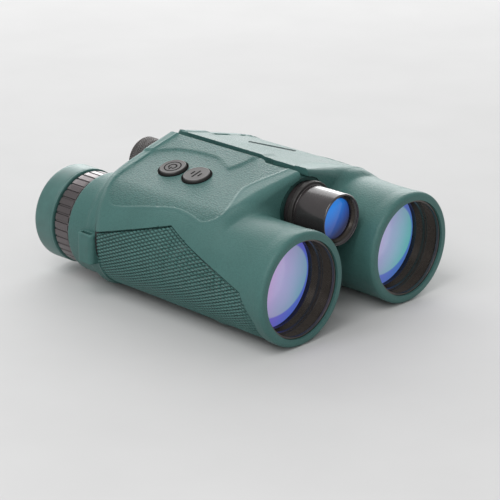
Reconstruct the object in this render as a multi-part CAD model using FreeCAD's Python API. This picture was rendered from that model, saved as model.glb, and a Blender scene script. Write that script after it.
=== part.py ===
"""Laser rangefinder in the form of a two-barrel binocular, as separate parts.

Millimetres, +Z up. The objectives point along -Y, the right-hand barrel of the user lies at -X.
The origin is on the table under the middle of the object. Depths "d" are measured backwards
from the plane of the objective rims, "u" is the distance outwards from the middle plane.
"""
import FreeCAD, Part
import math
import os

V = FreeCAD.Vector
FORWARD_AXIS = V(0, 1, 0)

# ---- driving dimensions -------------------------------------------------------------------
LENGTH = 146.0
BARREL_U = 34.5          # half the distance between the optical axes, as photographed
BARREL_Z = 25.2          # height of the optical axes over the table
HINGE_Z = BARREL_Z + 19.5

RIM_R = 25.2
TUBE_R = 24.9
MOUTH_R = 21.6
ARMOUR = 1.6
WALL = 2.0
RIM_DEPTH = 4.0
SLEEVE_END = 32.6        # where the skin is divided into sleeve and body cover

BODY_R = 26.0
BODY_RISE = 2.2          # the body's round section sits this much above the optical axis
TOP_SLOPE = math.radians(14.0)
GROOVE_HALF = 1.5
BODY_FRONT = 33.0
BODY_REAR = 112.5
EDGE_ROUND = 3.5
NECK_R = 22.9
NECK_REAR = 121.3

HINGE_R = 14.0           # spine and knuckles
HINGE_GAP = 0.3
BUSH_R = 11.0
KNUCKLES = ((32.0, 45.7), (97.3, 106.0))
KNUCKLE_STEP = 38.3      # the front knuckle is wider inside before this, round the laser tube
SPINE = (46.0, 97.0)
RUNNING = 0.05

BORE_R = 17.0            # optical bore behind the objective cell
BORE = (34.0, 104.0)
FOCUS_D = 57.0           # middle of the focusing cell
FOCUS_TRAVEL = 3.0
ARM_WIDE = 5.0
ARM_THICK = 3.0
CARRIAGE_R = 10.2
DRIVE_R = 9.9
BATTERY_TUBE_R = 8.9
AXLE_R = 5.45
KNOB_R = 10.6

BAY = (66.0, 96.0)       # electronics bay under the roof of the bridge
BAY_U = (17.5, 36.0)
BAY_HIGH = 6.0
BUTTON_U = 25.3
BUTTON_DEPTHS = {"power": 86.5, "mode": 71.8}
BUTTON_R = 6.1

DIOPTER = (121.6, 132.2)
DIOPTER_R = 21.2
DIOPTER_RIBS = 36
EYECUP = (133.2, LENGTH)
EYECUP_R = 21.8

LASER_FRONT = 9.7
LASER_R = 11.5
LASER_FLANGE = (27.0, 31.7)
LASER_FLANGE_R = 13.1

PAD_OUTLINE = ((101.0, 6.8), (58.0, 19.2), (54.0, 17.8), (13.0, 2.5), (6.0, -10.0),
               (6.0, -30.0), (101.0, -30.0))   # (d, height over the optical axis)
PAD_INNER_U = 30.0

LUG = (101.5, 111.0)
LUG_OUT_U = 61.4
LUG_TOP = 5.0
LUG_BOTTOM = -9.0
LUG_SLOT = (103.2, 109.3)
LUG_SLOT_U = (58.0, 60.1)


# ---- small tools --------------------------------------------------------------------------
def y_at(d):
    """Y of a depth behind the objective rims."""
    return d - LENGTH / 2


def turned(profile, u=BARREL_U, z=BARREL_Z):
    """A solid of revolution about a fore-and-aft axis. profile: (d, r) corners of half a section."""
    corners = [V(u + r, y_at(d), z) for d, r in profile]
    face = Part.Face(Part.makePolygon(corners + corners[:1]))
    return face.revolve(V(u, 0, z), FORWARD_AXIS, 360)


def ring(d0, d1, r_out, r_in=0.0, u=BARREL_U, z=BARREL_Z):
    """A plain ring or disc from depth d0 to d1."""
    return turned([(d0, r_in), (d0, r_out), (d1, r_out), (d1, r_in)], u, z)


def lens(d_front, d_rear, r, sag_front, sag_rear, u=BARREL_U, z=BARREL_Z):
    """A lens. d_front and d_rear are at its edge; a positive sag stands the face outwards."""
    def point(d, radius):
        return V(u + radius, y_at(d), z)

    def spherical(d_edge, sag, sign):
        apex = d_edge + sign * sag
        radius = (r * r + sag * sag) / (2 * abs(sag))
        drop = radius - math.sqrt(radius * radius - r * r / 4)
        middle = apex - sign * math.copysign(drop, sag)
        return point(apex, 0), Part.Arc(point(apex, 0), point(middle, r / 2), point(d_edge, r))

    front_apex, front = spherical(d_front, sag_front, -1)
    rear_apex, rear = spherical(d_rear, sag_rear, 1)
    edges = [front.toShape(), Part.makeLine(point(d_front, r), point(d_rear, r)),
             rear.toShape(), Part.makeLine(rear_apex, front_apex)]
    face = Part.Face(Part.Wire(Part.__sortEdges__(edges)))
    return face.revolve(V(u, 0, z), FORWARD_AXIS, 360)


def prism_along(points, d0, d1):
    """Extrudes a closed (u, z) outline from depth d0 to d1."""
    corners = [V(u, y_at(d0), z) for u, z in points]
    face = Part.Face(Part.makePolygon(corners + corners[:1]))
    return face.extrude(V(0, d1 - d0, 0))


def box(u0, u1, d0, d1, z0, z1):
    return Part.makeBox(u1 - u0, d1 - d0, z1 - z0, V(u0, y_at(d0), z0))


def hinge_ring(d0, d1, r_out, r_in=0.0):
    return ring(d0, d1, r_out, r_in, 0.0, HINGE_Z)


def about_hinge(shape, degrees):
    turned_shape = shape.copy()
    turned_shape.rotate(V(0, 0, HINGE_Z), FORWARD_AXIS, degrees)
    return turned_shape


def mirrored(shape):
    return shape.mirror(V(0, 0, 0), V(1, 0, 0))


def joined(shapes):
    result = shapes[0]
    for shape in shapes[1:]:
        result = result.fuse(shape)
    return result.removeSplitter()


# ---- outer form of one half, made at +X ---------------------------------------------------
def top_z(u, inset=0.0):
    """Height of the sloping roof over the table at distance u, less an inset along its normal."""
    reach = BARREL_U * math.sin(TOP_SLOPE) + BODY_RISE * math.cos(TOP_SLOPE) + BODY_R - inset
    return BARREL_Z + (reach - u * math.sin(TOP_SLOPE)) / math.cos(TOP_SLOPE)


def body_outline(inset):
    """Section of the bridge and barrel: sloping roof, round outside, short web under the hinge."""
    centre_z = BARREL_Z + BODY_RISE
    r = BODY_R - inset

    def on_circle(degrees):
        a = math.radians(degrees)
        return V(BARREL_U + r * math.cos(a), 0, centre_z + r * math.sin(a))

    edge_u = GROOVE_HALF + inset
    roof_end = 90 - math.degrees(TOP_SLOPE)
    inner = V(edge_u, 0, top_z(edge_u, inset))
    below = V(edge_u, 0, BARREL_Z + 9 + inset)
    web = V(GROOVE_HALF + 3.5 + inset, 0, BARREL_Z + 6 + inset)
    edges = [Part.makeLine(inner, on_circle(roof_end)),
             Part.Arc(on_circle(roof_end), on_circle(-60), on_circle(-185)).toShape(),
             Part.makeLine(on_circle(-185), web),
             Part.makeLine(web, below),
             Part.makeLine(below, inner)]
    return Part.Wire(edges)


def body_block(inset):
    """The bridge and barrel body with rounded ends, before the hinge is cut away."""
    d0, d1 = BODY_FRONT + inset, BODY_REAR - inset
    outline = body_outline(inset)
    outline.translate(V(0, y_at(d0), 0))
    block = Part.Face(outline).extrude(V(0, d1 - d0, 0))
    ends = [e for e in block.Edges
            if abs(e.BoundBox.YMax - e.BoundBox.YMin) < 1e-6
            and e.BoundBox.XMax > GROOVE_HALF + 6 and e.BoundBox.ZMax > BARREL_Z + 10]
    rounded = block.makeFillet(EDGE_ROUND - 0.5 * inset, ends)
    corner = Part.makePolygon([V(BARREL_U + 2, y_at(d1) + 0.2, 0),
                               V(BARREL_U + 2 + BODY_R, y_at(d1) - 11, 0),
                               V(BARREL_U + 2 + BODY_R, y_at(d1) + 9, 0),
                               V(BARREL_U + 2, y_at(d1) + 9, 0),
                               V(BARREL_U + 2, y_at(d1) + 0.2, 0)])
    return rounded.cut(Part.Face(corner).extrude(V(0, 0, 80)))


def barrel_form(inset):
    """The tube of the objective and the neck of the eyepiece, one turned form."""
    if inset == 0:
        front = [(0, 0), (0, RIM_R - 1.8), (0.6, RIM_R - 0.6), (1.8, RIM_R), (RIM_DEPTH, RIM_R),
                 (RIM_DEPTH + 4, TUBE_R)]
    else:
        front = [(inset + 0.6, 0), (inset + 0.6, TUBE_R - inset)]
    rear_r = NECK_R - inset
    return turned(front + [(BODY_FRONT + 8, TUBE_R - inset), (BODY_REAR - 14, rear_r),
                           (NECK_REAR, rear_r), (NECK_REAR, 0)])


def hinge_clearance(own_zones):
    """What is cut from a half round the hinge: close in its own zones, with a gap elsewhere."""
    cut = hinge_ring(BODY_FRONT - 15, BODY_REAR + 15, HINGE_R + HINGE_GAP)
    for d0, d1 in own_zones:
        cut = cut.cut(hinge_ring(d0, d1, HINGE_R + HINGE_GAP + 1, HINGE_R))
    return cut


def half_form(inset, own_zones):
    form = body_block(inset).fuse(barrel_form(inset))
    return form.cut(hinge_clearance(own_zones)).removeSplitter()


# ---- shells and covers --------------------------------------------------------------------
def pad_region():
    corners = [V(PAD_INNER_U, y_at(d), BARREL_Z + z) for d, z in PAD_OUTLINE]
    face = Part.Face(Part.makePolygon(corners + corners[:1]))
    return face.extrude(V(40, 0, 0))


def roof_frame(d, u=BUTTON_U):
    """Placement whose Z is the outward normal of the roof at (u, d), for the half at +X."""
    turn = FreeCAD.Rotation(FORWARD_AXIS, math.degrees(TOP_SLOPE))
    return FreeCAD.Placement(V(u, y_at(d), top_z(u)), turn)


def on_roof(shape, d, u=BUTTON_U):
    placed = shape.copy()
    placed.Placement = roof_frame(d, u).multiply(placed.Placement)
    return placed


def disc(r, low, high):
    """A disc about Z between two heights; negative heights are below the roof."""
    return Part.makeCylinder(r, high - low, V(0, 0, low))


def armour(form, housing, with_buttons):
    """The rubber skin, as the sleeve round the objective and the cover of the body behind it."""
    skin = form.cut(housing).cut(ring(-1, 8, MOUTH_R)).cut(pad_region())
    skin = skin.cut(lug_block())
    if with_buttons:
        for d in BUTTON_DEPTHS.values():
            skin = skin.cut(on_roof(disc(BUTTON_R + 0.3, -6, 3), d))
    front = largest(skin.common(ring(-1, SLEEVE_END, 60)))
    return front, largest(skin.cut(ring(-1, SLEEVE_END, 60)))


def largest(shape):
    return max(shape.Solids, key=lambda s: s.Volume)


def grip_pad(form, housing):
    """The ribbed grip inlay, a little lower than the armour round it."""
    pad = form.cut(housing).common(pad_region())
    pad = pad.cut(lug_block())
    return largest(pad)


def arm_slot(wide, d0, d1, r_from, r_to):
    """A radial bar from the hinge axis towards the barrel axis of the half at +X."""
    bar = Part.makeBox(r_to - r_from, d1 - d0, wide, V(r_from, y_at(d0), HINGE_Z - wide / 2))
    down = math.degrees(math.atan2(HINGE_Z - BARREL_Z, BARREL_U))
    return about_hinge(bar, down)


def bay_block():
    """The electronics bay: parallel to the roof, under the armour and the housing's roof."""
    cover = ARMOUR + WALL
    u0, u1 = BAY_U
    drop = BAY_HIGH / math.cos(TOP_SLOPE)
    points = [(u0, top_z(u0, cover)), (u1, top_z(u1, cover)),
              (u1, top_z(u1, cover) - drop), (u0, top_z(u0, cover) - drop)]
    return prism_along(points, *BAY)


def housing(form, with_buttons):
    """The rigid casting under the armour, bored for the optics."""
    bores = [ring(0, BORE[0], 22.45), ring(BORE[0] - 1, BORE[1], BORE_R),
             ring(BORE[1] - 1, NECK_REAR + 1, 17.55), bay_block(),
             arm_slot(ARM_WIDE + 0.8, FOCUS_D - ARM_THICK / 2 - FOCUS_TRAVEL - 0.6,
                      FOCUS_D + ARM_THICK / 2 + FOCUS_TRAVEL + 0.6, HINGE_R - 2, 30)]
    shell = form
    for bore in bores:
        shell = shell.cut(bore)
    if with_buttons:
        for d in BUTTON_DEPTHS.values():
            shell = shell.cut(on_roof(disc(BUTTON_R + 0.3, -2.9, 3), d))
            shell = shell.cut(on_roof(disc(1.7, -5, 0), d))
    return largest(shell)


def lug_block():
    """The block of the strap lug, which is also cut out of the armour."""
    return box(BARREL_U + 19, LUG_OUT_U, LUG[0], LUG[1],
               BARREL_Z + LUG_BOTTOM, BARREL_Z + LUG_TOP)


def strap_lug(inner_form):
    """A loop at the outer rear corner, with a vertical slot for the strap."""
    block = lug_block()
    upright = [e for e in block.Edges
               if e.BoundBox.XMin > LUG_OUT_U - 0.1 and e.BoundBox.ZMax - e.BoundBox.ZMin > 2]
    block = block.makeFillet(1.8, upright)
    slot = box(*LUG_SLOT_U, *LUG_SLOT, 0, 60)
    return largest(block.cut(inner_form).cut(slot))


# ---- optics of one barrel -----------------------------------------------------------------
def objective_tube():
    """The black tube inside the rim: a plain mouth, a step, and the seat of the lens."""
    profile = [(2.3, 22.4), (2.3, MOUTH_R), (9.0, MOUTH_R), (9.0, 21.0), (15.6, 21.0),
               (15.6, 21.25), (25.0, 21.25), (25.0, 19.0), (32.0, 19.0), (32.0, 22.4)]
    return turned(profile)


def objective_crown():
    return lens(16.6, 19.0, 21.2, 2.6, 2.4)


def objective_flint():
    return lens(19.0, 23.8, 21.2, -2.4, -0.9)


def focus_cell():
    cell = ring(FOCUS_D - 4, FOCUS_D + 4, BORE_R - RUNNING, 13.5)
    reach = math.hypot(BARREL_U, HINGE_Z - BARREL_Z)
    arm = arm_slot(ARM_WIDE, FOCUS_D - ARM_THICK / 2, FOCUS_D + ARM_THICK / 2,
                   8.4, reach - 15)
    return joined([cell, arm])


def focus_lens():
    return lens(FOCUS_D - 1.2, FOCUS_D + 1.6, 13.45, -1.0, 0.6)


def prisms():
    """The two blocks of a roof prism set, a thin air gap between them."""
    front = [(68.0, -10.5), (82.5, -10.5), (76.0, 10.5), (68.0, 10.5)]
    rear = [(83.1, -10.5), (99.0, -10.5), (99.0, 3.0), (91.0, 10.5), (76.6, 10.5)]
    made = []
    for outline in (front, rear):
        corners = [V(BARREL_U - 9.5, y_at(d), BARREL_Z + z) for d, z in outline]
        face = Part.Face(Part.makePolygon(corners + corners[:1]))
        made.append(face.extrude(V(19, 0, 0)))
    return Part.makeCompound(made)


def prism_bracket():
    """A U-shaped cradle that clamps the prisms in the bore."""
    tube = ring(67.0, 100.5, BORE_R - RUNNING)
    window = box(BARREL_U - 9.6, BARREL_U + 9.6, 60, 110, BARREL_Z - 10.6, BARREL_Z + 20)
    side = [box(BARREL_U + s * 13.6 - 2.6, BARREL_U + s * 13.6 + 2.6, 72, 95,
                BARREL_Z - 20, BARREL_Z + 20) for s in (-1, 1)]
    bracket = tube.cut(window)
    for cut in side:
        bracket = bracket.cut(cut)
    return largest(bracket)


def eyepiece_body():
    """The fixed eyepiece tube, screwed into the neck."""
    return turned([(105.0, 14.7), (105.0, 17.5), (132.3, 17.5), (132.3, 16.6), (143.0, 16.6),
                   (143.0, 14.7)])


def ocular_tube():
    return turned([(108.0, 12.6), (108.0, 14.6), (139.0, 14.6), (139.0, 12.9), (138.0, 12.0),
                   (137.3, 12.0), (137.3, 12.6)])


def field_lens():
    return lens(111.0, 113.0, 12.55, 1.4, 1.4)


def eye_lens():
    return lens(132.5, 136.4, 12.55, 1.6, 0.8)


def diopter_ring():
    """A turned ring with flat bars between narrow lengthwise grooves."""
    body = turned([(DIOPTER[0], 17.6), (DIOPTER[0], DIOPTER_R - 0.7), (DIOPTER[0] + 0.7, DIOPTER_R),
                   (DIOPTER[1] - 0.5, DIOPTER_R), (DIOPTER[1], DIOPTER_R - 0.5), (DIOPTER[1], 17.6)])
    groove = box(BARREL_U - 0.28, BARREL_U + 0.28, DIOPTER[0] + 1.6, DIOPTER[1] + 1,
                 BARREL_Z + DIOPTER_R - 0.45, BARREL_Z + DIOPTER_R + 1)
    cuts = []
    for n in range(DIOPTER_RIBS):
        cut = groove.copy()
        cut.rotate(V(BARREL_U, 0, BARREL_Z), FORWARD_AXIS, n * 360 / DIOPTER_RIBS)
        cuts.append(cut)
    return body.cut(cuts)


def eyecup_guide():
    """The keyed ring that slides without turning and carries the twisting cup."""
    return ring(133.6, 144.4, 17.5, 16.65)


def eyecup_sleeve():
    return turned([(133.4, 17.55), (133.4, 19.4), (144.6, 19.4), (144.6, 17.55)])


def eyecup_rubber():
    d0, d1 = EYECUP
    return turned([(d0, 19.4), (d0, EYECUP_R - 0.4), (d0 + 0.4, EYECUP_R), (d1 - 1.6, EYECUP_R),
                   (d1 - 0.5, EYECUP_R - 0.5), (d1, EYECUP_R - 1.6), (d1, 17.6), (d1 - 0.5, 16.6),
                   (d1 - 1.4, 16.6), (d1 - 1.4, 19.4)])


# ---- hinge, focus drive, battery and laser ------------------------------------------------
def hinge_spine():
    """The middle knuckle, fixed to the right half, with windows for the focusing arms."""
    spine = hinge_ring(*SPINE, HINGE_R, BUSH_R)
    d0 = FOCUS_D - ARM_THICK / 2 - FOCUS_TRAVEL - 0.6
    d1 = FOCUS_D + ARM_THICK / 2 + FOCUS_TRAVEL + 0.6
    window = arm_slot(ARM_WIDE + 0.8, d0, d1, 5, HINGE_R + 5)
    windows = [mirrored(window)]
    for fold in (-8, 0, 8, 16, 24, 31):
        windows.append(about_hinge(window, fold))
    return largest(spine.cut(windows))


def hinge_bushes():
    return Part.makeCompound([hinge_ring(36.8, 49.5, BUSH_R, 10.0),
                              hinge_ring(93.0, 108.5, BUSH_R, 10.0)])


def left_knuckles():
    (d0, d1), (d2, d3) = KNUCKLES
    bore = BUSH_R + RUNNING
    front = turned([(d0, 12.4), (d0, HINGE_R), (d1, HINGE_R), (d1, bore), (KNUCKLE_STEP, bore),
                    (KNUCKLE_STEP, 12.4)], 0.0, HINGE_Z)
    return Part.makeCompound([front, hinge_ring(d2, d3, HINGE_R, bore)])


def focus_carriage():
    """The sliding nut: a wide head with the groove that holds both arms, and a threaded tail."""
    g0, g1 = FOCUS_D - ARM_THICK / 2 - RUNNING, FOCUS_D + ARM_THICK / 2 + RUNNING
    return turned([(FOCUS_D - 4, 5.5), (FOCUS_D - 4, CARRIAGE_R), (g0, CARRIAGE_R), (g0, 8.2),
                   (g1, 8.2), (g1, CARRIAGE_R), (FOCUS_D + 8, CARRIAGE_R),
                   (FOCUS_D + 8, BATTERY_TUBE_R), (92.0, BATTERY_TUBE_R), (92.0, 5.5)],
                  0.0, HINGE_Z)


def focus_drive_sleeve():
    """The turning sleeve between the bush and the battery tube."""
    return hinge_ring(72.0, 116.0, DRIVE_R, 9.0)


def focus_knob():
    """The grip of the focus wheel behind the bridge."""
    seat = DRIVE_R + 0.02
    return turned([(110.5, seat), (110.5, KNOB_R - 0.5), (111.0, KNOB_R), (131.0, KNOB_R),
                   (131.5, KNOB_R - 0.5), (131.5, 9.6), (129.3, 9.6), (129.3, 9.0),
                   (116.02, 9.0), (116.02, seat)], 0.0, HINGE_Z)


def battery_tube():
    """The battery well behind the bridge, held by the axle that the focusing nut slides along."""
    return turned([(44.1, 0), (44.1, 7.6), (46.4, 7.6), (46.4, AXLE_R), (97.0, AXLE_R),
                   (97.0, BATTERY_TUBE_R), (129.0, BATTERY_TUBE_R), (129.0, 8.0), (98.5, 8.0),
                   (98.5, 0)], 0.0, HINGE_Z)


def battery():
    """A CR2 cell: 15.6 mm across and 27 mm long, with its raised pole to the front."""
    return turned([(99.8, 0), (99.8, 3.2), (100.6, 3.2), (100.6, 7.8), (127.0, 7.8), (127.0, 0)],
                  0.0, HINGE_Z)


def battery_spring():
    """The front contact: a conical coil shown as a thin tapered washer."""
    return turned([(98.5, 3.6), (98.5, 6.2), (98.9, 6.2), (100.4, 4.4), (100.4, 3.6)], 0.0, HINGE_Z)


def battery_cap():
    plug = turned([(127.1, 0), (127.1, 7.9), (129.4, 7.9), (129.4, 9.3), (132.0, 9.3),
                   (132.6, 8.7), (132.6, 0)], 0.0, HINGE_Z)
    coin_slot = box(-7.0, 7.0, 131.2, 134, HINGE_Z - 0.8, HINGE_Z + 0.8)
    return plug.cut(coin_slot)


def laser_tube():
    """The black tube on the hinge axis between the objectives."""
    f0, f1 = LASER_FLANGE
    return turned([(LASER_FRONT, 10.6), (LASER_FRONT, LASER_R - 0.5), (LASER_FRONT + 0.5, LASER_R),
                   (f0, LASER_R), (f0, LASER_FLANGE_R - 0.4), (f0 + 0.4, LASER_FLANGE_R),
                   (f1, LASER_FLANGE_R), (f1, 12.2), (38.0, 12.2), (38.0, 11.0), (36.8, 11.0),
                   (36.8, 9.95), (46.0, 9.95), (46.0, 7.6), (30.0, 7.6), (30.0, 9.4), (14.8, 9.4),
                   (14.8, 10.6)], 0.0, HINGE_Z)


def laser_lens_ring():
    """The threaded ring that holds the laser lens, its front bevelled inwards."""
    return turned([(10.8, 10.0), (12.2, 8.9), (12.9, 8.9), (12.9, 10.55), (10.8, 10.55)],
                  0.0, HINGE_Z)


def laser_lens():
    return lens(13.6, 14.8, 9.35, 1.3, 0.5, 0.0, HINGE_Z).fuse(
        hinge_ring(12.9, 14.8, 10.5, 9.0)).removeSplitter()


def laser_module():
    """The pulsed laser diode in its brass holder."""
    return turned([(32.0, 0), (32.0, 1.8), (34.5, 1.8), (34.5, 4.6), (36.0, 4.6), (36.0, 7.5),
                   (44.0, 7.5), (44.0, 0)], 0.0, HINGE_Z)


# ---- buttons and boards, made at +X and mirrored to the right half ------------------------
def button_cap(d):
    """A round cap that stands a little over the roof, with its plunger."""
    cap = disc(BUTTON_R, -1.6, 0.9)
    cap = cap.makeFillet(0.5, [e for e in cap.Edges if abs(e.BoundBox.ZMin - 0.9) < 1e-6
                               and len(e.Vertexes) == 1])
    return on_roof(cap.fuse(disc(1.4, -4.4, -1.5)).removeSplitter(), d)


def main_board():
    length = BAY[1] - BAY[0] - 2
    middle = (BAY[0] + BAY[1]) / 2
    board = Part.makeBox(15.0, length, 1.2, V(-5.0, -length / 2, -8.7))
    chip = Part.makeBox(6.0, 6.0, 1.0, V(3.2, -3.0, -7.5))
    return on_roof(board.fuse(chip).removeSplitter(), middle)


def tact_switches():
    body = Part.makeBox(5.0, 5.0, 1.7, V(-2.5, -2.5, -7.5)).fuse(disc(1.6, -5.8, -5.3))
    return Part.makeCompound([on_roof(body.removeSplitter(), d) for d in BUTTON_DEPTHS.values()])


def display_module():
    """The lit display and its small board in the bay of the left half."""
    board = Part.makeBox(14.0, 24.0, 1.2, V(-4.5, -12.0, -8.7))
    panel = Part.makeBox(9.0, 12.0, 2.2, V(-2.0, -6.0, -7.5))
    return on_roof(board.fuse(panel).removeSplitter(), (BAY[0] + BAY[1]) / 2)


def receiver_module():
    """The avalanche photodiode behind the prisms' side, in the bore of the right barrel."""
    can = ring(100.8, 103.2, 3.2, 0.0, BARREL_U - 12.4, BARREL_Z)
    board = box(BARREL_U - 16.0, BARREL_U - 8.8, 103.2, 104.0, BARREL_Z - 4, BARREL_Z + 4)
    return can.fuse(board).removeSplitter()


# ---- assembly -----------------------------------------------------------------------------
def half_parts():
    """Parts that both halves have, at +X."""
    made = {"objective_tube": objective_tube(), "objective_crown": objective_crown(),
            "objective_flint": objective_flint(), "focus_cell": focus_cell(),
            "focus_lens": focus_lens(), "prisms": prisms(), "prism_bracket": prism_bracket(),
            "eyepiece_body": eyepiece_body(), "ocular_tube": ocular_tube(),
            "field_lens": field_lens(), "eye_lens": eye_lens(), "diopter_ring": diopter_ring(),
            "eyecup_guide": eyecup_guide(), "eyecup_sleeve": eyecup_sleeve(),
            "eyecup_rubber": eyecup_rubber()}
    return made


def shell_parts(own_zones, with_buttons):
    """Housing, armour, grip pad and strap lug of one half, at +X."""
    outer = half_form(0.0, own_zones)
    inner = half_form(ARMOUR, own_zones)
    sleeve, cover = armour(outer, inner, with_buttons)
    return {"housing": housing(inner, with_buttons), "front_sleeve": sleeve, "body_armour": cover,
            "grip_pad": grip_pad(outer, inner), "strap_lug": strap_lug(inner)}


def build():
    parts = {}
    common = half_parts()
    left = shell_parts(KNUCKLES, False)
    right = shell_parts((SPINE,), True)
    for name, shape in {**left, **common}.items():
        parts["left_" + name] = shape
    for name, shape in {**right, **common}.items():
        parts["right_" + name] = mirrored(shape)
    parts["left_hinge_knuckles"] = left_knuckles()
    parts["display_module"] = display_module()
    parts["hinge_spine"] = hinge_spine()
    parts["hinge_bushes"] = hinge_bushes()
    parts["laser_tube"] = laser_tube()
    parts["laser_lens_ring"] = laser_lens_ring()
    parts["laser_lens"] = laser_lens()
    parts["laser_module"] = laser_module()
    parts["focus_carriage"] = focus_carriage()
    parts["focus_drive_sleeve"] = focus_drive_sleeve()
    parts["focus_knob"] = focus_knob()
    parts["battery_tube"] = battery_tube()
    parts["battery_spring"] = battery_spring()
    parts["battery"] = battery()
    parts["battery_cap"] = battery_cap()
    parts["main_board"] = mirrored(main_board())
    parts["tact_switches"] = mirrored(tact_switches())
    parts["receiver_module"] = mirrored(receiver_module())
    for name, d in BUTTON_DEPTHS.items():
        parts[name + "_button"] = mirrored(button_cap(d))
    return parts


def main():
    os.makedirs("parts", exist_ok=True)
    for name, shape in sorted(build().items()):
        solids = shape.Solids
        if not solids or not all(s.isValid() and s.Volume > 0 for s in solids):
            raise RuntimeError(name + " is not a set of closed solids")
        solid = solids[0] if len(solids) == 1 else Part.makeCompound(solids)
        solid.exportStep(os.path.join("parts", name + ".step"))
        print(f"{name:24s} solids {len(solids)}  volume {sum(s.Volume for s in solids):10.1f}")


main()
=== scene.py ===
import math

import bmesh
import bpy
import numpy as np
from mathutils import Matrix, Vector


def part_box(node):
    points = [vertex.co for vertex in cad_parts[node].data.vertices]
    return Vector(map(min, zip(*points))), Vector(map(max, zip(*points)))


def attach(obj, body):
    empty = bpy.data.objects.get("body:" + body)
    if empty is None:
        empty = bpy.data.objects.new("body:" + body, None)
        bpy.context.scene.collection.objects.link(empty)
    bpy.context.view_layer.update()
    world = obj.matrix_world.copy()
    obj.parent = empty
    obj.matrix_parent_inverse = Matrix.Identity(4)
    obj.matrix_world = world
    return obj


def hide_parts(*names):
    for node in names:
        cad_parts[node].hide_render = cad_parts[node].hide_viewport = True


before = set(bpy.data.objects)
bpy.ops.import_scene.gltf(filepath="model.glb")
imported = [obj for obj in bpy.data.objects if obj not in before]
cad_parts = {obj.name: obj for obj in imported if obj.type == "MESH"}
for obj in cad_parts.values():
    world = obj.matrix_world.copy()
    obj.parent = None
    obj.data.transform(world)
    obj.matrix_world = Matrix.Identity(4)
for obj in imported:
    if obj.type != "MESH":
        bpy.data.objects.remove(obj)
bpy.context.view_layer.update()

# Working units are millimetres: u outwards from the middle plane, d backwards from the rims,
# z over the table. Every half is worked out at +u and mirrored for the right half.


# ---- places, read from the frame ----------------------------------------------------------
def middle(node):
    lo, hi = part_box(node)
    return (lo + hi) * 500


FRONT_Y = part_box("left_front_sleeve")[0].y * 1000
AXIS_U, AXIS_Z = middle("left_objective_tube").x, middle("left_objective_tube").z
HINGE_Z = middle("hinge_spine").z


def span(node):
    """First and last depth of a CAD node."""
    lo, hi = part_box(node)
    return lo.y * 1000 - FRONT_Y, hi.y * 1000 - FRONT_Y


BODY_R = 26.0
BODY_Z = AXIS_Z + 2.2
SLOPE = math.radians(14)
SIN, COS = math.sin(SLOPE), math.cos(SLOPE)
ROOF_W = 42.04           # developed distance from the middle plane to the end of the flat roof
HINGE_R = 14.3
BUTTON_U = 25.3
BUTTON_D = {n: middle(n + "_button").y - FRONT_Y for n in ("power", "mode")}
BUTTON_R = 6.1
BUTTON_TOP = 0.9         # over the roof
BUTTON_HOLE = 6.75       # in the skin
MOUTH = 21.6             # clear radius in front of the objective lens
LENS_R, LENS_SAG = 21.2, 2.6
LENS_SEAT = 21.25
LENS_EDGE, LENS_BACK = 16.6, 19.0
DIOPTER_R, DIOPTER_BARS, GROOVE_DEEP = 21.2, 36, 0.5
KNOB_R = 10.6
KNURLS, KNURL_LEAD, KNURL_DEEP = 60, 1.5, 0.32
PANEL_DROP, PANEL_STEP = 0.42, 0.45
POCKET_DEEP = 1.5        # of the grip pad's recess in the skin


# ---- fields: negative inside, one value per point -----------------------------------------
def ease(a, b, x):
    t = np.clip((x - a) / (b - a), 0, 1)
    return t * t * (3 - 2 * t)


def round_max(a, b, r):
    return np.minimum(np.maximum(a, b), -r) + np.hypot(np.maximum(a + r, 0), np.maximum(b + r, 0))


def round_min(a, b, r):
    return -round_max(-a, -b, r)


def eased_table(x, xs, ys, reach=3.0):
    """A broken line with its corners eased over the reach."""
    return sum(np.interp(x + o * reach, xs, ys) for o in (-1, -0.5, 0, 0.5, 1)) / 5


def section(u, z):
    """Bridge and barrel in cross-section: the sloping roof that runs into the round outside."""
    circle = np.hypot(u - AXIS_U, z - BODY_Z) - BODY_R
    roof = (u - AXIS_U) * SIN + (z - BODY_Z) * COS - BODY_R
    along = (u - AXIS_U) * COS - (z - BODY_Z) * SIN
    under = -0.391 * (u - 8.6) - 0.920 * (z - AXIS_Z - 4.47)
    return np.minimum(circle, np.maximum(np.maximum(roof, along), under))


def tube(u, d, z):
    rho = np.hypot(u - AXIS_U, z - AXIS_Z)
    r = np.interp(d, [0, 4, 8, 48, 65, 87, 100, 121.3], [25.2, 25.2, 24.9, 24.9, 24.4, 23.6, 22.9, 22.9])
    return round_max(round_max(rho - r, -d, 1.8), d - 121.3, 0.6)


def form(p):
    """The outer form of one half without its cut-outs."""
    u, d, z = p
    whole = section(u, z)
    front = np.interp(u, [0, 3, 14, 24, 40], [31, 31, 32.5, 33.5, 34.5]) - d
    body = round_max(whole, front, np.interp(u, [0, 3, 12, 24, 33, 45], [1.4, 1.8, 3.0, 4.5, 4.5, 4.0]))
    rear = eased_table(u, [0, 30, 39, 52.5, 58, 60.5], [112.5, 112.3, 111, 105.8, 103.4, 101])
    body = round_max(body, d - rear, np.interp(u, [0, 34, 50], [2.0, 2.4, 5.0]))
    fillet = 5 * np.exp(-((d - 34) / 4.5) ** 2) + 7 * np.exp(-((d - 109) / 4.5) ** 2)
    barrel = tube(u, d, z)
    stepped = round_min(body, barrel, fillet)
    flush = barrel + (whole - barrel) * ease(14, 50, d)
    outer = ease(40, 54, u) * (1 - ease(55, 70, d))
    return stepped + (flush - stepped) * outer


def gradient(field, p, step=0.03):
    g = np.empty_like(p)
    for i in range(3):
        hi, lo = p.copy(), p.copy()
        hi[i] += step
        lo[i] -= step
        g[i] = (field(hi) - field(lo)) / (2 * step)
    return g


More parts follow.
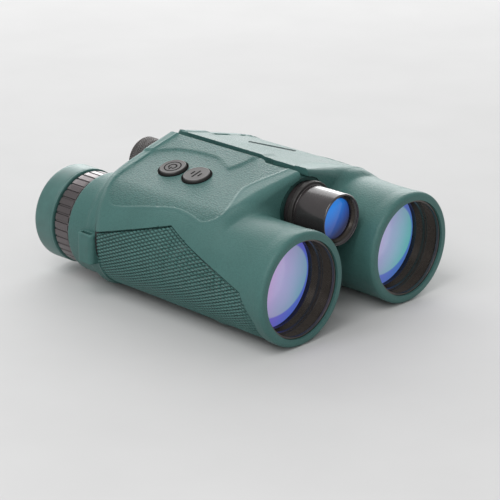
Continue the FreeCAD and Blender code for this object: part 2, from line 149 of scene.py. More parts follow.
# ---- outlines drawn on the developed outside ----------------------------------------------
def developed(p):
    """Distance round the outside from the middle plane, and depth."""
    u, d, z = p
    along = (u - AXIS_U) * COS - (z - BODY_Z) * SIN
    angle = math.radians(76) - np.arctan2(z - BODY_Z, u - AXIS_U)
    return np.where(along < 0, ROOF_W + along, ROOF_W + BODY_R * angle), d


def curve_through(points, steps=8):
    """A closed smooth outline through the points, which may carry a 0 to keep a corner."""
    pts = np.array([q[:2] for q in points], float)
    n = len(pts)
    tangent = (np.roll(pts, -1, 0) - np.roll(pts, 1, 0)) / 2
    for i, q in enumerate(points):
        if len(q) > 2:
            tangent[i] = 0
    out = []
    for i in range(n):
        a, b = pts[i], pts[(i + 1) % n]
        reach = np.linalg.norm(b - a)
        ta, tb = tangent[i].copy(), tangent[(i + 1) % n].copy()
        for t in (ta, tb):
            size = np.linalg.norm(t)
            if size > reach:
                t *= reach / size
        for k in range(steps):
            s = k / steps
            out.append((2 * s**3 - 3 * s**2 + 1) * a + (s**3 - 2 * s**2 + s) * ta
                       + (3 * s**2 - 2 * s**3) * b + (s**3 - s**2) * tb)
    return np.array(out)


def outline_distance(x, y, outline):
    """Signed distance to a closed outline, negative inside."""
    best = np.full(x.shape, 1e9)
    inside = np.zeros(x.shape, bool)
    for (ax, ay), (bx, by) in zip(outline, np.roll(outline, -1, 0)):
        ex, ey = bx - ax, by - ay
        t = np.clip(((x - ax) * ex + (y - ay) * ey) / (ex * ex + ey * ey + 1e-12), 0, 1)
        best = np.minimum(best, (x - ax - t * ex) ** 2 + (y - ay - t * ey) ** 2)
        crosses = ((ay > y) != (by > y)) & (x < ex * (y - ay) / (ey if ey else 1e-12) + ax)
        inside ^= crosses
    return np.where(inside, -1, 1) * np.sqrt(best)


class Chart:
    """A distance table over a patch of the plane, so that an outline is quick to look up."""

    def __init__(self, outline, lo, hi, cell=0.25):
        self.lo, self.cell = np.array(lo, float), cell
        xs = np.arange(lo[0], hi[0] + cell, cell)
        ys = np.arange(lo[1], hi[1] + cell, cell)
        self.table = outline_distance(*np.meshgrid(xs, ys, indexing="ij"), outline)

    def __call__(self, x, y):
        fx = np.clip((x - self.lo[0]) / self.cell, 0, self.table.shape[0] - 1.001)
        fy = np.clip((y - self.lo[1]) / self.cell, 0, self.table.shape[1] - 1.001)
        i, j = fx.astype(int), fy.astype(int)
        a, b = fx - i, fy - j
        t = self.table
        return ((1 - a) * (1 - b) * t[i, j] + a * (1 - b) * t[i + 1, j]
                + (1 - a) * b * t[i, j + 1] + a * b * t[i + 1, j + 1])


PANEL = Chart(curve_through(
    [(-8, 38.3, 0), (2.2, 38.3), (14.9, 42.8), (24.6, 45.1), (34.2, 41.9), (45.1, 38.1), (51.9, 43.5),
     (50.4, 52.5), (49.7, 61.6), (53.0, 74.8), (57.9, 94.6), (52.9, 101.9), (46.8, 104.6),
     (39, 106.1), (20, 106.9), (3, 107), (-8, 107, 0)]), (-9, 28), (72, 122))
ISLAND = Chart(curve_through(
    [(-8, 57, 0), (0.6, 57.3), (15.7, 62), (11.2, 75), (13, 95), (20, 107.4), (20, 115),
     (-8, 115, 0)]), (-9, 28), (72, 122))
PAD_LINE = [(101.0, 6.8), (58.0, 19.2), (54.0, 17.8), (13.0, 2.5), (6.0, -10.0), (6.0, -30.0),
            (101.0, -30.0)]
PAD_BACK = 30.0
PAD = Chart(np.array(PAD_LINE), (-2, -36), (124, 40))


def panel(p):
    return PANEL(*developed(p))


def detailed(p):
    """The outer form with the sunk panel and the low island beside the hinge."""
    line = panel(p)
    sunk = PANEL_DROP * (1 - ease(-PANEL_STEP, 0.0, line)) - 0.16 * np.exp(-((line - 0.7) / 0.6) ** 2)
    island = 0.6 * ease(0, 2.2, -ISLAND(*developed(p)))
    roof = ease(-6, 0, p[2] - AXIS_Z - 2)
    return form(p) + (sunk - island) * roof


def pad_region(p):
    return np.maximum(PAD(p[1], p[2] - AXIS_Z), PAD_BACK - p[0])


# ---- meshes -------------------------------------------------------------------------------
def surface_nets(field, lo, hi, step):
    """Vertices (3, n) and outward quads of the field's zero surface."""
    axes = [np.arange(lo[i], hi[i] + step[i], step[i]) for i in range(3)]
    values = field(np.array(np.meshgrid(*axes, indexing="ij")))
    inside = values < 0
    cells = tuple(n - 1 for n in values.shape)
    corners = [(i, j, k) for i in (0, 1) for j in (0, 1) for k in (0, 1)]
    count = sum(inside[i:i + cells[0], j:j + cells[1], k:k + cells[2]].astype(np.int8)
                for i, j, k in corners)
    active = (count > 0) & (count < 8)
    number = np.full(cells, -1)
    number[active] = np.arange(active.sum())
    at = np.nonzero(active)
    total, hits = np.zeros((3, len(at[0]))), np.zeros(len(at[0]))
    for a in corners:
        for axis in range(3):
            if a[axis]:
                continue
            b = tuple(c + (i == axis) for i, c in enumerate(a))
            fa = values[tuple(at[i] + a[i] for i in range(3))]
            fb = values[tuple(at[i] + b[i] for i in range(3))]
            hit = (fa < 0) != (fb < 0)
            t = np.where(hit, fa / np.where(hit, fa - fb, 1), 0)
            for i in range(3):
                total[i] += hit * (a[i] + t * (b[i] - a[i]))
            hits += hit
    points = np.array([axes[i][at[i]] + total[i] / hits * step[i] for i in range(3)])
    quads = []
    for axis in range(3):
        b, c = (axis + 1) % 3, (axis + 2) % 3
        first = [slice(None)] * 3
        second = [slice(None)] * 3
        first[axis], second[axis] = slice(None, -1), slice(1, None)
        change = inside[tuple(first)] != inside[tuple(second)]
        where = np.array(np.nonzero(change))
        keep = (where[b] > 0) & (where[c] > 0) & (where[b] < cells[b]) & (where[c] < cells[c])
        where = where[:, keep]
        loop = []
        for db, dc in ((1, 1), (0, 1), (0, 0), (1, 0)):
            cell = where.copy()
            cell[b] -= db
            cell[c] -= dc
            loop.append(number[tuple(cell)])
        quad = np.array(loop).T
        outward = inside[tuple(where)]
        quads.append(np.where(outward[:, None], quad, quad[:, ::-1]))
    return points, np.concatenate(quads)


def project(points, field, rounds=5, limit=0.4):
    for _ in range(rounds):
        g = gradient(field, points)
        move = field(points) * g / np.maximum((g * g).sum(0), 0.05)
        size = np.linalg.norm(move, axis=0)
        points = points - move * np.minimum(1, limit / np.maximum(size, 1e-9))
    return points


def to_edge(points, one, other, reach):
    """Moves the points that lie near both surfaces onto the line where they meet."""
    a, b = one(points), other(points)
    near = (np.abs(a) < reach) & (np.abs(b) < reach)
    p = points[:, near]
    for _ in range(5):
        fa, fb, ga, gb = one(p), other(p), gradient(one, p), gradient(other, p)
        aa, bb, ab = (ga * ga).sum(0), (gb * gb).sum(0), (ga * gb).sum(0)
        det = aa * bb - ab * ab
        safe = np.where(det > 0.05, det, np.inf)
        la, lb = (fa * bb - fb * ab) / safe, (fb * aa - fa * ab) / safe
        move = la * ga + lb * gb
        size = np.linalg.norm(move, axis=0)
        p = p - move * np.minimum(1, 0.3 / np.maximum(size, 1e-9))
    out = points.copy()
    out[:, near] = p
    return out


def make_object(name, points, quads, material, body, replaced=(), right=False, sharp=32,
                tidy=True, numbers=None):
    """points: (n, 3) rows of u, d, z. A right-hand piece is mirrored to -u."""
    rows = np.array(points, float)
    x = -rows[:, 0] if right else rows[:, 0]
    world = np.stack([x, rows[:, 1] + FRONT_Y, rows[:, 2]], 1) / 1000
    faces = [tuple(reversed(q)) for q in quads] if right else [tuple(q) for q in quads]
    mesh = bpy.data.meshes.new(name)
    mesh.from_pydata(world.tolist(), [], faces)
    if numbers:
        for key, values in numbers.items():
            layer = mesh.attributes.new(key, "FLOAT", "POINT")
            layer.data.foreach_set("value", np.asarray(values, np.float32))
    mesh.update()
    if tidy:
        bm = bmesh.new()
        bm.from_mesh(mesh)
        bmesh.ops.remove_doubles(bm, verts=bm.verts, dist=1e-6)
        bmesh.ops.dissolve_degenerate(bm, edges=bm.edges, dist=1e-7)
        bmesh.ops.recalc_face_normals(bm, faces=bm.faces)
        bm.to_mesh(mesh)
        bm.free()
    mesh.shade_smooth()
    mesh.set_sharp_from_angle(angle=math.radians(sharp))
    made = bpy.data.objects.new(name, mesh)
    bpy.context.scene.collection.objects.link(made)
    mesh.materials.append(material)
    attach(made, body)
    if replaced:
        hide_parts(*replaced)
    return made


def rounded(corners, radius=0.25, steps=4):
    """Eases the corners of a closed section. A corner may carry its own radius."""
    out = []
    n = len(corners)
    for i, corner in enumerate(corners):
        r = corner[2] if len(corner) > 2 else radius
        here, before, after = (np.array(corners[j % n][:2], float) for j in (i, i - 1, i + 1))
        back, ahead = before - here, after - here
        lb, la = np.linalg.norm(back), np.linalg.norm(ahead)
        r = min(r, 0.45 * lb, 0.45 * la)
        if r < 1e-4 or here[1] < 1e-6:
            out.append(tuple(here))
            continue
        a, b = here + back / lb * r, here + ahead / la * r
        for k in range(steps + 1):
            t = k / steps
            out.append(tuple((1 - t) ** 2 * a + 2 * t * (1 - t) * here + t * t * b))
    return out


def lathe(section_line, count=144, u=None, z=None, shape=None, closed=True):
    """Turns a line of (d, r) about a fore-and-aft axis. shape(angle, d, r) may change d and r."""
    u = AXIS_U if u is None else u
    z = AXIS_Z if z is None else z
    line = np.array(section_line, float)
    angle = np.arange(count) * 2 * math.pi / count
    a, d = np.meshgrid(angle, line[:, 0], indexing="ij")
    r = np.broadcast_to(line[:, 1], a.shape).copy()
    if shape:
        d, r = shape(a, d, r)
    points = np.stack([u + r * np.cos(a), d, z + r * np.sin(a)], -1).reshape(-1, 3)
    m = len(line)
    quads = []
    for i in range(count):
        j = (i + 1) % count
        for k in range(m if closed else m - 1):
            l = (k + 1) % m
            quads.append((i * m + k, i * m + l, j * m + l, j * m + k))
    return points, quads


def threads(d0, d1, r, pitch, depth):
    """A sawtooth wall of fine turned grooves from d0 to d1."""
    line = []
    d = d0
    while d < d1 - pitch * 0.5:
        line += [(d, r), (d + pitch * 0.5, r + depth)]
        d += pitch
    return line + [(d1, r)]


# ---- materials ----------------------------------------------------------------------------
def linear(colour):
    return tuple(c / 12.92 if c <= 0.04045 else ((c + 0.055) / 1.055) ** 2.4
                 for c in (v / 255 for v in colour))


class Shader:
    """A Principled material with helpers for the nodes that feed it."""

    def __init__(self, name, roughness=0.5, metallic=0.0, **sockets):
        self.material = bpy.data.materials.new(name)
        self.material.use_nodes = True
        self.nodes = self.material.node_tree.nodes
        self.links = self.material.node_tree.links
        self.main = self.nodes["Principled BSDF"]
        self.set("Roughness", roughness)
        self.set("Metallic", metallic)
        for key, value in sockets.items():
            self.set(key.replace("_", " "), value)
        self.place = self.nodes.new("ShaderNodeTexCoord").outputs["Object"]
        self.height = None

    def set(self, socket, value):
        self.main.inputs[socket].default_value = value

    def node(self, kind, **inputs):
        made = self.nodes.new(kind)
        for key, value in inputs.items():
            made.inputs[key.replace("_", " ")].default_value = value
        return made

    def join(self, out, into):
        self.links.new(out, into)

    def noise(self, size, detail=3.0, stretch=(1, 1, 1), rough=0.55):
        """Noise with features of the given size in millimetres."""
        scale = self.node("ShaderNodeMapping", Scale=tuple(s * 1000 / size for s in stretch))
        self.join(self.place, scale.inputs["Vector"])
        made = self.node("ShaderNodeTexNoise", Scale=1.0, Detail=detail, Roughness=rough)
        self.join(scale.outputs["Vector"], made.inputs["Vector"])
        return made.outputs["Fac"]

    def cells(self, size):
        scale = self.node("ShaderNodeMapping", Scale=(1000 / size,) * 3)
        self.join(self.place, scale.inputs["Vector"])
        made = self.node("ShaderNodeTexVoronoi", Scale=1.0)
        self.join(scale.outputs["Vector"], made.inputs["Vector"])
        return made.outputs["Distance"]

    def remap(self, value, low, high, to_low, to_high):
        made = self.node("ShaderNodeMapRange", From_Min=low, From_Max=high, To_Min=to_low, To_Max=to_high)
        self.join(value, made.inputs["Value"])
        return made.outputs["Result"]

    def math(self, operation, a, b):
        made = self.nodes.new("ShaderNodeMath")
        made.operation = operation
        for value, socket in ((a, made.inputs[0]), (b, made.inputs[1])):
            if isinstance(value, (int, float)):
                socket.default_value = value
            else:
                self.join(value, socket)
        return made.outputs[0]

    def attribute(self, name):
        made = self.nodes.new("ShaderNodeAttribute")
        made.attribute_name = name
        return made.outputs["Fac"]

    def ramp(self, value, stops):
        made = self.nodes.new("ShaderNodeValToRGB")
        elements = made.color_ramp.elements
        while len(elements) < len(stops):
            elements.new(0.5)
        for element, (position, colour) in zip(elements, stops):
            element.position = position
            element.color = (*colour, 1)
        self.join(value, made.inputs["Fac"])
        return made.outputs["Color"]

    def mix(self, a, b, factor=None, blend="MIX"):
        """Two colours, blended by a factor or, without one, fully."""
        made = self.nodes.new("ShaderNodeMix")
        made.data_type = "RGBA"
        made.blend_type = blend
        made.inputs[0].default_value = 1.0
        if factor is not None:
            self.join(factor, made.inputs[0])
        self.join(a, made.inputs[6])
        self.join(b, made.inputs[7])
        return made.outputs[2]

    def shade(self, colour, value, low, high):
        """Multiplies a colour by a grey that runs from low to high with the value."""
        grey = self.ramp(value, [(0.0, (low,) * 3), (1.0, (high,) * 3)])
        return self.mix(colour, grey, blend="MULTIPLY")

    def colour(self, output):
        self.join(output, self.main.inputs["Base Color"])
        return self

    def rough(self, value, low, high):
        self.join(self.remap(value, 0.3, 0.7, low, high), self.main.inputs["Roughness"])
        return self

    def bump(self, value, depth):
        """depth in millimetres; several bumps follow on from each other."""
        made = self.node("ShaderNodeBump", Strength=1.0, Distance=depth / 1000)
        self.join(value, made.inputs["Height"])
        if self.height is not None:
            self.join(self.height, made.inputs["Normal"])
        self.height = made.outputs["Normal"]
        self.join(self.height, self.main.inputs["Normal"])
        return self

    def scaled(self, colour, low, high):
        return [(0.3, tuple(c * low for c in colour)), (0.7, tuple(c * high for c in colour))]


def mottled(name, colour, roughness, metallic=0.0, grain=0.5, depth=0.01, spread=0.12, **sockets):
    """A plain finish with fine grain: slight colour and gloss variation, and a bump."""
    s = Shader(name, roughness, metallic, **sockets)
    broad = s.noise(grain * 14)
    s.colour(s.ramp(broad, s.scaled(colour, 1 - spread, 1 + spread)))
    s.rough(broad, roughness - 0.05, roughness + 0.06)
    s.bump(s.noise(grain, detail=2.0), depth)
    return s.material


GREEN = (0.052, 0.136, 0.125)


def armour_rubber():
    s = Shader("armour_green", 0.5, Specular_IOR_Level=0.32)
    wear = s.noise(22, detail=4.0)
    grain = s.cells(0.75)
    stipple = s.math("MULTIPLY", grain, s.attribute("stipple"))
    s.colour(s.shade(s.ramp(wear, s.scaled(GREEN, 0.94, 1.06)), stipple, 1.12, 0.72))
    s.rough(wear, 0.42, 0.50)
    s.bump(stipple, 0.17)
    s.bump(s.noise(0.35, detail=2.0), 0.015)
    return s.material


def grip_rubber():
    s = Shader("grip_green", 0.5, Specular_IOR_Level=0.4)
    wear = s.noise(12, detail=3.0)
    # Base colour times a grey that runs from 0.38 where the height is low (grooves, flat border, skirt) to
    # 1.3 on the bump tops: painted shade in the grooves and a painted highlight on the tops.
    s.colour(s.shade(s.ramp(wear, s.scaled(GREEN, 0.9, 1.05)), s.attribute("height"), 0.38, 1.3))
    s.rough(wear, 0.40, 0.50)
    s.bump(s.noise(0.3, detail=2.0), 0.012)
    return s.material


def turned_metal(name, colour, roughness, axis=(1, 0.02, 1), grain=0.3, metallic=1.0, depth=0.004):
    """Metal with fine marks that run along one axis of the part."""
    s = Shader(name, roughness, metallic)
    marks = s.noise(grain, stretch=axis)
    s.colour(s.ramp(marks, s.scaled(colour, 0.9, 1.1)))
    s.rough(marks, roughness - 0.05, roughness + 0.05)
    s.bump(marks, depth)
    return s.material


def glass_with_painted_reflection(name, axis_x, inner, outer, glow):
    """A coated lens painted with its reflections: a painted sweep of reflected colour across the glass,
    deeper above and below the middle, and a painted glow from the emission.
    """
    s = Shader(name, 0.04, 0.0, Specular_IOR_Level=0.5, Emission_Strength=glow)
    parts = s.node("ShaderNodeSeparateXYZ")
    s.join(s.place, parts.inputs[0])
    across = s.math("MULTIPLY", s.math("SUBTRACT", parts.outputs["X"], axis_x / 1000), 22)
    up = s.math("MULTIPLY", s.math("SUBTRACT", parts.outputs["Z"], AXIS_Z / 1000), -10)
    mix = s.math("ADD", s.math("ADD", across, up), 0.5)
    wave = s.math("MULTIPLY", s.math("SUBTRACT", s.noise(9, detail=1.0), 0.5), 0.12)
    reflection_sweep = s.math("ADD", mix, wave)
    middle_reflection = s.ramp(reflection_sweep, list(zip((0.05, 0.5, 0.95), inner)))
    rim_reflection = s.ramp(reflection_sweep, list(zip((0.1, 0.9), outer)))
    high = s.math("SUBTRACT", parts.outputs["Z"], AXIS_Z / 1000)
    wide = s.math("MULTIPLY", s.math("SUBTRACT", parts.outputs["X"], axis_x / 1000), 0.8)
    away = s.math("SQRT", s.math("ADD", s.math("MULTIPLY", high, high), s.math("MULTIPLY", wide, wide)), 0)
    tone = s.mix(middle_reflection, rim_reflection, s.remap(away, 0.0158, 0.0166, 0, 1))
    s.colour(tone)
    # The painted reflection colours also feed the emission, so the glass glows with painted light.
    s.join(tone, s.main.inputs["Emission Color"])
    s.rough(s.noise(6, detail=1.0), 0.03, 0.06)
    return s.material


ARMOUR = armour_rubber()
GRIP = grip_rubber()
ARMOUR_PLAIN = mottled("lug_green", GREEN, 0.5, grain=0.4, depth=0.01, Specular_IOR_Level=0.32)
CUP = mottled("eyecup_green", GREEN, 0.42, grain=0.4, depth=0.008, Specular_IOR_Level=0.6)
# The hinge rubber at the floor of the groove is given a darker green than the armour: painted shade of the
# groove.
HINGE_GREEN_SHADED = mottled("hinge_green_painted_shade", (0.012, 0.05, 0.045), 0.55, grain=0.4, depth=0.01)
CASTING = mottled("casting_black", (0.025, 0.025, 0.026), 0.5, 0.3, grain=0.5, depth=0.01)
BORE_BLACK = mottled("bore_black", (0.042, 0.034, 0.028), 0.28, 0.5, grain=0.3, depth=0.006)
RING_METAL = turned_metal("ring_gunmetal", (0.13, 0.115, 0.108), 0.35)
DIOPTER_METAL = turned_metal("diopter_gunmetal", (0.15, 0.135, 0.138), 0.33, axis=(1, 1, 1), grain=0.35)
KNOB_METAL = mottled("knob_dark", (0.10, 0.094, 0.092), 0.36, 0.6, grain=0.3, depth=0.006)
LASER_BLACK = mottled("laser_black", (0.034, 0.028, 0.029), 0.26, 0.2, grain=0.8, depth=0.004,
                      Coat_Weight=0.7, Coat_Roughness=0.12)
COLLAR_BLACK = mottled("collar_black", (0.02, 0.017, 0.016), 0.5, 0.0, grain=0.5, depth=0.12)
POLYMER = mottled("polymer_black", (0.03, 0.03, 0.031), 0.5, grain=0.4, depth=0.015)
BUTTON = mottled("button_grey", (0.07, 0.067, 0.066), 0.44, 0.6, grain=0.25, depth=0.006)
BUTTON_MARK = mottled("button_mark", (0.006, 0.006, 0.006), 0.85, grain=0.25, depth=0.004,
                      Specular_IOR_Level=0.15)
# Near-black for the wells round the keys: painted shadow in the gap.
GAP_PAINTED_SHADE = mottled("gap_painted_shade", (0.006, 0.006, 0.006), 0.8, grain=0.4, depth=0.01, Specular_IOR_Level=0.2)
LABEL = mottled("label_grey", (0.016, 0.034, 0.033), 0.85, grain=0.4, depth=0.004,
                Specular_IOR_Level=0.08)
BATTERY_METAL = turned_metal("cap_gunmetal", (0.15, 0.135, 0.13), 0.4, axis=(1, 0.05, 1))
STEEL = turned_metal("steel_turned", (0.55, 0.55, 0.56), 0.3)
BRASS = turned_metal("brass_turned", (0.72, 0.5, 0.2), 0.32)
BOARD = mottled("board_green", (0.02, 0.12, 0.045), 0.4, grain=1.5, depth=0.01)
WRAP = mottled("cell_wrap", (0.03, 0.04, 0.12), 0.3, grain=3.0, depth=0.006)
# Both objective lenses: painted reflection colours and a painted glow.
GLASS_NEAR = glass_with_painted_reflection(
    "lens_painted_reflection_right", -AXIS_U, [linear(c) for c in ((194, 128, 186), (160, 150, 192), (120, 160, 184))],
    [linear(c) for c in ((140, 92, 184), (84, 106, 196))], 0.62)
GLASS_FAR = glass_with_painted_reflection(
    "lens_painted_reflection_left", AXIS_U, [linear(c) for c in ((188, 130, 182), (150, 154, 190), (104, 178, 180))],
    [linear(c) for c in ((134, 104, 186), (78, 118, 192))], 0.62)


def clear_glass(name, colour, alpha_dark):
    s = Shader(name, 0.03, 0.0, Transmission_Weight=0.85, IOR=1.5)
    s.colour(s.ramp(s.noise(8, detail=1.0), s.scaled(colour, alpha_dark, 1.0)))
    s.rough(s.noise(5, detail=1.0), 0.02, 0.05)
    return s.material


OPTICS = clear_glass("optics_clear", (0.85, 0.92, 0.9), 0.94)


def laser_glass():
    # Painted reflection: the window runs from dark navy low down to bright blue higher up and towards -x,
    # in place of a reflected softbox, and the emission gives it a painted glow.
    s = Shader("laser_glass_blue", 0.05, Emission_Strength=0.6)
    parts = s.node("ShaderNodeSeparateXYZ")
    s.join(s.place, parts.inputs[0])
    up = s.math("MULTIPLY", s.math("SUBTRACT", parts.outputs["Z"], HINGE_Z / 1000), 50)
    across = s.math("MULTIPLY", parts.outputs["X"], -30)
    mix = s.math("ADD", s.math("ADD", up, across), 0.5)
    tone = s.ramp(mix, [(0.1, linear((52, 56, 84))), (0.45, linear((44, 78, 150))),
                        (0.85, linear((30, 118, 205)))])
    s.colour(tone)
    s.join(tone, s.main.inputs["Emission Color"])
    s.rough(s.noise(4, detail=1.0), 0.03, 0.07)
    return s.material


LASER_WINDOW_PAINTED_LIGHT = laser_glass()

SLOT_MATERIALS = {
    "hinge_rubber": HINGE_GREEN_SHADED, "inner_casting": CASTING, "black_anodised": BORE_BLACK,
    "gunmetal": BATTERY_METAL, "black_polymer": POLYMER, "button_metal": BUTTON,
    "coated_lens": OPTICS, "optical_glass": OPTICS, "laser_glass": LASER_WINDOW_PAINTED_LIGHT, "steel": STEEL,
    "brass": BRASS, "circuit_board": BOARD, "cell_wrap": WRAP, "armour_rubber": ARMOUR,
    "grip_rubber": GRIP}
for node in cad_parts.values():
    for socket in node.material_slots:
        name = socket.material.name if socket.material else ""
        found = [m for key, m in SLOT_MATERIALS.items() if name.startswith(key)]
        socket.material = found[0] if found else POLYMER


# ---- armour skin --------------------------------------------------------------------------
def groove_edge(right):
    """Half the groove's width beside the hinge, which changes where the two halves are stepped."""
    wide, narrow = (3.0, 1.2) if right else (1.8, 3.0)
    return lambda d: wide + (narrow - wide) * ease(51, 55, d)


def cutters(right):
    """All that is taken out of the skin: groove, hinge, grip pocket, bores and button holes."""
    edge = groove_edge(right)

    def cut(p):
        u, d, z = p
        rho = np.hypot(u - AXIS_U, z - AXIS_Z)
        outside = form(p)
        cuts = [edge(d) - u,
                HINGE_R - np.hypot(u, z - HINGE_Z),
                np.minimum(-pad_region(p), outside + POCKET_DEEP),
                np.where(d < 60, np.minimum(MOUTH + 0.9 * ease(2.3, 2.6, d) - rho, 60 - d),
                         np.minimum(21.4 - rho, d - 60))]
        if right:
            for depth in BUTTON_D.values():
                away = np.hypot(u - BUTTON_U, d - depth)
                cuts.append(np.minimum(BUTTON_HOLE - away, z - AXIS_Z - 10))
        return np.max(cuts, axis=0)

    return cut


def armour_skin(right):
    side = "right_" if right else "left_"
    cut = cutters(right)

    def rough_field(p):
        return np.maximum(form(p), cut(p))

    def field(p):
        return np.maximum(detailed(p), cut(p))

    points, quads = surface_nets(rough_field, (0.6, -0.6, -0.8), (62, 122.4, 63.6), (0.56, 0.7, 0.56))
    points = project(points, field, 6)
    for level in (0.0, -PANEL_STEP):
        points = to_edge(points, detailed, lambda p: panel(p) - level, 0.27)
    points = to_edge(points, detailed, cut, 0.42)
    depth = form(points)
    inside_pad = pad_region(points) < -1.1
    deepest = np.where(points[0] < 4, -4.4, -2.3)
    drop = (depth < deepest) | (inside_pad & (depth < -1.2))
    keep = ~drop[quads].any(1)
    quads = quads[keep]
    used, back = np.unique(quads, return_inverse=True)
    points, quads = points[:, used], back.reshape(quads.shape)
    stipple = 1 - ease(-1.2, -0.6, panel(points))
    stipple *= ease(-6, 0, points[2] - AXIS_Z - 2)
    make_object(side + "skin", points.T, quads, ARMOUR, side + "half",
                (side + "front_sleeve", side + "body_armour"), right, 34, False,
                {"stipple": 0.45 + 0.55 * stipple})
    print(side, "skin quads", len(quads))


# ---- grip pads ----------------------------------------------------------------------------
def pad_top(d):
    return np.interp(d, [q[0] for q in PAD_LINE[4::-1]], [q[1] for q in PAD_LINE[4::-1]])


def on_form(angle, d, level):
    """Points at a level under the outer form, straight out from the barrel's axis."""
    r = np.full(angle.shape, 25.5)
    for _ in range(14):
        p = np.array([AXIS_U + r * np.cos(angle), d, AXIS_Z + r * np.sin(angle)])
        r = r - 0.9 * (form(p) - level)
    return np.array([AXIS_U + r * np.cos(angle), d, AXIS_Z + r * np.sin(angle)]), r


def grip(right):
    side = "right_" if right else "left_"
    nd, na = 290, 190
    depths = np.linspace(6.35, 100.65, nd)
    high = pad_top(depths) - 0.35
    top = np.arcsin(np.clip(high / 25.5, -1, 1))
    for _ in range(6):
        _, r = on_form(top, depths, -0.75)
        top = np.arcsin(np.clip(high / r, -1, 1))
    bottom = -math.pi / 2 - math.asin((AXIS_U - PAD_BACK - 0.35) / 24.6)
    t = np.linspace(0, 1, na)
    angle = top[:, None] + (bottom - top[:, None]) * t[None, :]
    d = np.broadcast_to(depths[:, None], angle.shape).copy()
    arc = angle * 25.3
    wave_a, wave_b = (np.abs(((0.26 * s * d + 0.61 * arc) % 1.0) - 0.5) * 2 for s in (1, -1))
    bumps = ease(0.03, 0.55, 1 - wave_a) * ease(0.03, 0.55, 1 - wave_b)
    edge_d = np.minimum(d - 6, 101 - d)
    sweep = top[:, None] - bottom
    edge_t = np.minimum(t[None, :] * sweep * 25, (1 - t[None, :]) * sweep * 25)
    border = np.minimum(edge_d, edge_t)
    bumps = bumps * ease(0.2, 0.9, border)
    level = -1.05 + 0.6 * bumps - 0.35 * (1 - ease(0, 0.8, border))
    p, _ = on_form(angle, d, level)
    back, _ = on_form(angle, d, np.full(angle.shape, -1.55))
    grid = p.transpose(1, 2, 0).reshape(-1, 3)
    index = np.arange(nd * na).reshape(nd, na)
    quads = np.stack([index[:-1, :-1], index[:-1, 1:], index[1:, 1:], index[1:, :-1]], -1).reshape(-1, 4)
    rim = np.concatenate([index[:, 0], index[-1, 1:], index[-2::-1, -1], index[0, -2:0:-1]])
    lower = back.transpose(1, 2, 0).reshape(-1, 3)[rim]
    start = len(grid)
    n = len(rim)
    skirt = [(rim[i], rim[(i + 1) % n], start + (i + 1) % n, start + i) for i in range(n)]
    points = np.concatenate([grid, lower])
    # The skirt gets height 0, which the grip material turns into its deepest painted shade.
    painted_shade_heights = np.concatenate([bumps.reshape(-1), np.zeros(n)])
    quads = np.concatenate([quads, np.array(skirt)])
    make_object(side + "grip", points, quads, GRIP, side + "half",
                (side + "grip_pad",), right, 40, True, {"height": painted_shade_heights})


for right_side in (True, False):
    armour_skin(right_side)
    grip(right_side)


# ---- strap lugs ---------------------------------------------------------------------------
def lug(right):
    side = "right_" if right else "left_"
    lo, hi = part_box(side + "strap_lug")
    d0, d1 = span(side + "strap_lug")
    z0, z1 = lo.z * 1000, hi.z * 1000
    out = max(abs(lo.x), abs(hi.x)) * 1000

    def field(p):
        u, d, z = p
        block = round_max(u - out, np.abs(d - (d0 + d1) / 2) - (d1 - d0) / 2, 2.2)
        block = round_max(block, np.abs(z - (z0 + z1) / 2) - (z1 - z0) / 2, 0.9)
        slot = np.maximum(np.abs(u - out + 2.35) - 1.05, np.abs(d - (d0 + d1) / 2) - 3.05)
        return round_max(round_max(block, -slot, 0.3), 52.0 - u, 0.1)

    points, quads = surface_nets(field, (51, d0 - 1, z0 - 1), (out + 1, d1 + 1, z1 + 1), (0.33, 0.33, 0.4))
    points = project(points, field, 6)
    make_object(side + "lug", points.T, quads, ARMOUR_PLAIN, side + "half",
                (side + "strap_lug",), right, 40, False)


for right_side in (True, False):
    lug(right_side)


# ---- barrel ends --------------------------------------------------------------------------
def add_lathe(name, body, material, slot, line, replaced=(), right=False, sharp=32, **options):
    points, quads = lathe(line, **options)
    return make_object(name, points, quads, material, body, replaced, right, sharp)


def dome(apex, sag, edge, count):
    """The (d, r) line of a spherical face, from its foremost point to its edge."""
    radius = (edge * edge + sag * sag) / (2 * sag)
    return [(apex + radius - math.sqrt(radius * radius - r * r), r) for r in np.linspace(0, edge, count)]


def objective(right):
    side = "right_" if right else "left_"
    body = side + "half"
    bore = [(2.35, 22.35), (2.35, MOUTH - 0.05), (2.6, MOUTH - 0.15)]
    bore += threads(2.9, 8.2, MOUTH - 0.25, 0.48, 0.26)
    bore += [(8.4, MOUTH - 0.25), (8.8, MOUTH - 0.25), (9.0, 21.0), (9.3, 20.9), (9.7, 20.95),
             (10.4, 20.95)]
    bore += threads(10.6, 14.2, 20.9, 0.45, 0.22)
    bore += [(14.4, 21.0), (15.6, 21.0), (15.6, LENS_SEAT), (25.0, LENS_SEAT), (25.0, 19.0), (32.0, 19.0),
             (32.0, 22.35)]
    add_lathe(side + "bore", body, BORE_BLACK, "black_anodised", bore,
              (side + "objective_tube",), right, 28, count=160)
    ring_line = rounded([(1.1, MOUTH + 0.02), (1.1, MOUTH - 0.9), (2.5, MOUTH - 0.9), (2.5, MOUTH + 0.02)],
                        0.2)
    add_lathe(side + "bore_ring", body, RING_METAL, "gunmetal", ring_line, (), right, count=160)
    back = [(LENS_BACK, r) for r in np.linspace(LENS_R, 0, 6)]
    add_lathe(side + "front_lens", body, GLASS_NEAR if right else GLASS_FAR, "coated_lens",
              dome(LENS_EDGE - LENS_SAG, LENS_SAG, LENS_R, 28) + back,
              (side + "objective_crown",), right, 40, count=96)


